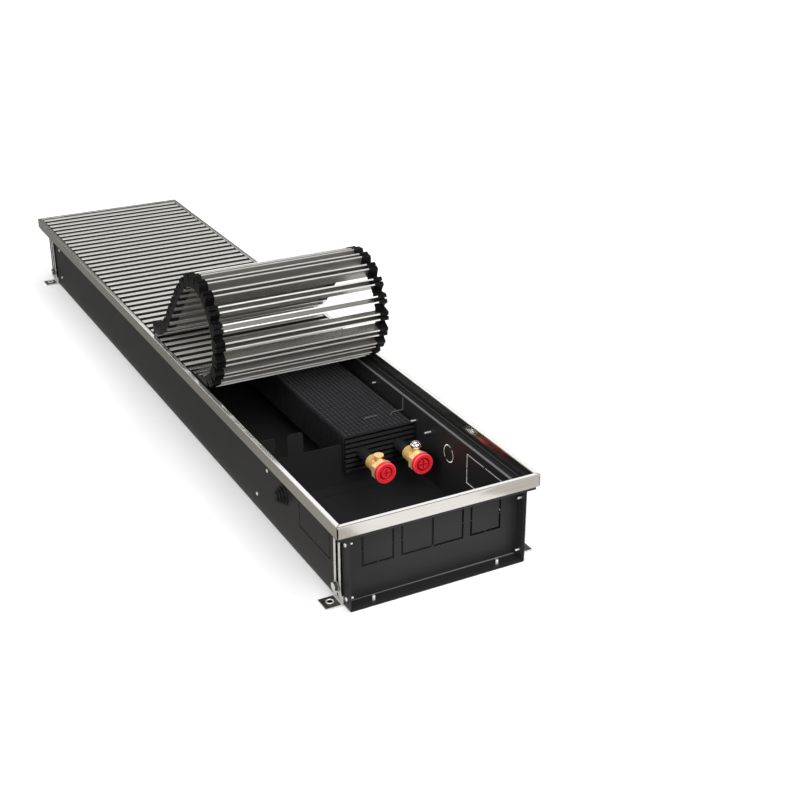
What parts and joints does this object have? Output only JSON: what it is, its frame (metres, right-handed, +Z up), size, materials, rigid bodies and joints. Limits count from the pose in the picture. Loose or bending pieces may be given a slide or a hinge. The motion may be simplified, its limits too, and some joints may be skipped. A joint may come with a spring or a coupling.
{
  "type": "trench convector heater",
  "caption": "Black trench convector heater with a finned exchanger, capped brass fittings, levelling feet and an aluminium grille rolled back at the valve end.",
  "frame": {"origin": "centre of the footprint, on the slab the trough stands on", "axes": "+Y along the trough away from the valve end, +X across it towards the heat exchanger, +Z up"},
  "size_m": [0.2624, 1.2, 0.2485],
  "materials": {
    "black_sheet": "matte powder coat",
    "anodised_frame": "satin anodised",
    "anodised_slat": "satin anodised",
    "link_plastic": "moulded",
    "strip_rubber": "matte",
    "black_fin": "matte coated",
    "black_tube": "matte coated",
    "cast_brass": "machined",
    "vent_chrome": "plated",
    "red_cap": "moulded",
    "zinc_steel": "zinc plated"
  },
  "bodies": {
    "heater": {"trough": "black_sheet", "end_plate_near": "black_sheet", "end_plate_far": "black_sheet", "frame_upstands": "black_sheet", "frame_rail_left": "anodised_frame", "frame_rail_right": "anodised_frame", "frame_rail_near": "anodised_frame", "frame_rail_far": "anodised_frame", "frame_corner_keys": "zinc_steel", "rubber_strips": "strip_rubber", "exchanger_fins": "black_fin", "exchanger_end_fins": "black_fin", "exchanger_tube": "black_tube", "support_bracket_near": "black_sheet", "support_bracket_far": "black_sheet", "exchanger_clips": "black_sheet", "spreader_bars": "black_sheet", "fitting_return": "cast_brass", "fitting_supply": "cast_brass", "blanking_plug": "cast_brass", "air_vent_body": "vent_chrome", "foot_bolts": "zinc_steel", "end_plate_screws": "zinc_steel", "wall_screws": "zinc_steel", "cable_grommet": "strip_rubber"},
    "grille": {"grille_flat_slats": "anodised_slat", "grille_flat_links": "link_plastic"},
    "slat_01": {"grille_slat_01": "anodised_slat"},
    "slat_02": {"grille_slat_02": "anodised_slat"},
    "slat_03": {"grille_slat_03": "anodised_slat"},
    "slat_04": {"grille_slat_04": "anodised_slat"},
    "slat_05": {"grille_slat_05": "anodised_slat"},
    "slat_06": {"grille_slat_06": "anodised_slat"},
    "slat_07": {"grille_slat_07": "anodised_slat"},
    "slat_08": {"grille_slat_08": "anodised_slat"},
    "slat_09": {"grille_slat_09": "anodised_slat"},
    "slat_10": {"grille_slat_10": "anodised_slat"},
    "slat_11": {"grille_slat_11": "anodised_slat"},
    "slat_12": {"grille_slat_12": "anodised_slat"},
    "slat_13": {"grille_slat_13": "anodised_slat"},
    "slat_14": {"grille_slat_14": "anodised_slat"},
    "slat_15": {"grille_slat_15": "anodised_slat"},
    "slat_16": {"grille_slat_16": "anodised_slat"},
    "slat_17": {"grille_slat_17": "anodised_slat"},
    "slat_18": {"grille_slat_18": "anodised_slat"},
    "slat_19": {"grille_slat_19": "anodised_slat"},
    "slat_20": {"grille_slat_20": "anodised_slat"},
    "slat_21": {"grille_slat_21": "anodised_slat"},
    "slat_22": {"grille_slat_22": "anodised_slat"},
    "slat_23": {"grille_slat_23": "anodised_slat"},
    "slat_24": {"grille_slat_24": "anodised_slat"},
    "foot_near_left": {"foot_near_left": "zinc_steel"},
    "foot_near_right": {"foot_near_right": "zinc_steel"},
    "foot_far_left": {"foot_far_left": "zinc_steel"},
    "foot_far_right": {"foot_far_right": "zinc_steel"},
    "cap_return": {"cap_return": "red_cap"},
    "cap_supply": {"cap_supply": "red_cap"},
    "air_vent_spindle": {"air_vent_spindle": "vent_chrome"}
  },
  "joints": [
    {"name": "grille_lift", "type": "slide", "parent": "heater", "child": "grille", "axis": [0, 0, 1], "range_m": [0, 0.06]},
    {"name": "slat_hinge_01", "type": "hinge", "parent": "grille", "child": "slat_01", "pos_m": [0, -0.1337, 0.106], "axis": [1, 0, 0], "range_deg": [0, 5]},
    {"name": "slat_hinge_02", "type": "hinge", "parent": "slat_01", "child": "slat_02", "pos_m": [0, -0.15273, 0.10766], "axis": [1, 0, 0], "range_deg": [0, 5]},
    {"name": "slat_hinge_03", "type": "hinge", "parent": "slat_02", "child": "slat_03", "pos_m": [0, -0.17154, 0.11098], "axis": [1, 0, 0], "range_deg": [0, 5]},
    {"name": "slat_hinge_04", "type": "hinge", "parent": "slat_03", "child": "slat_04", "pos_m": [0, -0.18999, 0.11593], "axis": [1, 0, 0], "range_deg": [0, 5]},
    {"name": "slat_hinge_05", "type": "hinge", "parent": "slat_04", "child": "slat_05", "pos_m": [0, -0.20793, 0.12246], "axis": [1, 0, 0], "range_deg": [0, 18.24]},
    {"name": "slat_hinge_06", "type": "hinge", "parent": "slat_05", "child": "slat_06", "pos_m": [0, -0.22294, 0.13428], "axis": [1, 0, 0], "range_deg": [0, 18.24]},
    {"name": "slat_hinge_07", "type": "hinge", "parent": "slat_06", "child": "slat_07", "pos_m": [0, -0.23348, 0.1502], "axis": [1, 0, 0], "range_deg": [0, 18.24]},
    {"name": "slat_hinge_08", "type": "hinge", "parent": "slat_07", "child": "slat_08", "pos_m": [0, -0.23852, 0.16863], "axis": [1, 0, 0], "range_deg": [0, 18.24]},
    {"name": "slat_hinge_09", "type": "hinge", "parent": "slat_08", "child": "slat_09", "pos_m": [0, -0.23753, 0.1877], "axis": [1, 0, 0], "range_deg": [0, 18.24]},
    {"name": "slat_hinge_10", "type": "hinge", "parent": "slat_09", "child": "slat_10", "pos_m": [0, -0.23062, 0.20551], "axis": [1, 0, 0], "range_deg": [0, 18.24]},
    {"name": "slat_hinge_11", "type": "hinge", "parent": "slat_10", "child": "slat_11", "pos_m": [0, -0.21849, 0.22026], "axis": [1, 0, 0], "range_deg": [0, 18.24]},
    {"name": "slat_hinge_12", "type": "hinge", "parent": "slat_11", "child": "slat_12", "pos_m": [0, -0.20235, 0.23047], "axis": [1, 0, 0], "range_deg": [0, 18.24]},
    {"name": "slat_hinge_13", "type": "hinge", "parent": "slat_12", "child": "slat_13", "pos_m": [0, -0.18382, 0.23512], "axis": [1, 0, 0], "range_deg": [0, 18.24]},
    {"name": "slat_hinge_14", "type": "hinge", "parent": "slat_13", "child": "slat_14", "pos_m": [0, -0.16477, 0.23373], "axis": [1, 0, 0], "range_deg": [0, 18.24]},
    {"name": "slat_hinge_15", "type": "hinge", "parent": "slat_14", "child": "slat_15", "pos_m": [0, -0.14711, 0.22646], "axis": [1, 0, 0], "range_deg": [0, 18.24]},
    {"name": "slat_hinge_16", "type": "hinge", "parent": "slat_15", "child": "slat_16", "pos_m": [0, -0.13262, 0.21402], "axis": [1, 0, 0], "range_deg": [0, 2]},
    {"name": "slat_hinge_17", "type": "hinge", "parent": "slat_16", "child": "slat_17", "pos_m": [0, -0.11857, 0.20108], "axis": [1, 0, 0], "range_deg": [0, 2]},
    {"name": "slat_hinge_18", "type": "hinge", "parent": "slat_17", "child": "slat_18", "pos_m": [0, -0.10498, 0.18766], "axis": [1, 0, 0], "range_deg": [0, 2]},
    {"name": "slat_hinge_19", "type": "hinge", "parent": "slat_18", "child": "slat_19", "pos_m": [0, -0.09187, 0.17377], "axis": [1, 0, 0], "range_deg": [0, 2]},
    {"name": "slat_hinge_20", "type": "hinge", "parent": "slat_19", "child": "slat_20", "pos_m": [0, -0.07924, 0.15944], "axis": [1, 0, 0], "range_deg": [0, 2]},
    {"name": "slat_hinge_21", "type": "hinge", "parent": "slat_20", "child": "slat_21", "pos_m": [0, -0.06713, 0.14467], "axis": [1, 0, 0], "range_deg": [-10.41, 0]},
    {"name": "slat_hinge_22", "type": "hinge", "parent": "slat_21", "child": "slat_22", "pos_m": [0, -0.05255, 0.13233], "axis": [1, 0, 0], "range_deg": [-10.41, 0]},
    {"name": "slat_hinge_23", "type": "hinge", "parent": "slat_22", "child": "slat_23", "pos_m": [0, -0.03598, 0.12283], "axis": [1, 0, 0], "range_deg": [-10.41, 0]},
    {"name": "slat_hinge_24", "type": "hinge", "parent": "slat_23", "child": "slat_24", "pos_m": [0, -0.01796, 0.11649], "axis": [1, 0, 0], "range_deg": [-10.41, 0]},
    {"name": "cap_return_pull", "type": "slide", "parent": "heater", "child": "cap_return", "axis": [0, -1, 0], "range_m": [0, 0.03]},
    {"name": "cap_supply_pull", "type": "slide", "parent": "heater", "child": "cap_supply", "axis": [0, -1, 0], "range_m": [0, 0.03]},
    {"name": "air_vent_turn", "type": "hinge", "parent": "heater", "child": "air_vent_spindle", "pos_m": [0.08075, -0.3925, 0.066], "axis": [0, 0, 1], "range_deg": [0, 360]},
    {"name": "foot_near_left_level", "type": "slide", "parent": "heater", "child": "foot_near_left", "axis": [0, 0, -1], "range_m": [0, 0.05]},
    {"name": "foot_near_right_level", "type": "slide", "parent": "heater", "child": "foot_near_right", "axis": [0, 0, -1], "range_m": [0, 0.05]},
    {"name": "foot_far_left_level", "type": "slide", "parent": "heater", "child": "foot_far_left", "axis": [0, 0, -1], "range_m": [0, 0.05]},
    {"name": "foot_far_right_level", "type": "slide", "parent": "heater", "child": "foot_far_right", "axis": [0, 0, -1], "range_m": [0, 0.05]}
  ],
  "couplings": [
    {"joint": "slat_hinge_21", "follows": "slat_hinge_15", "ratio": -0.57071},
    {"joint": "slat_hinge_22", "follows": "slat_hinge_15", "ratio": -0.57071},
    {"joint": "slat_hinge_23", "follows": "slat_hinge_15", "ratio": -0.57071},
    {"joint": "slat_hinge_24", "follows": "slat_hinge_15", "ratio": -0.57071}
  ]
}
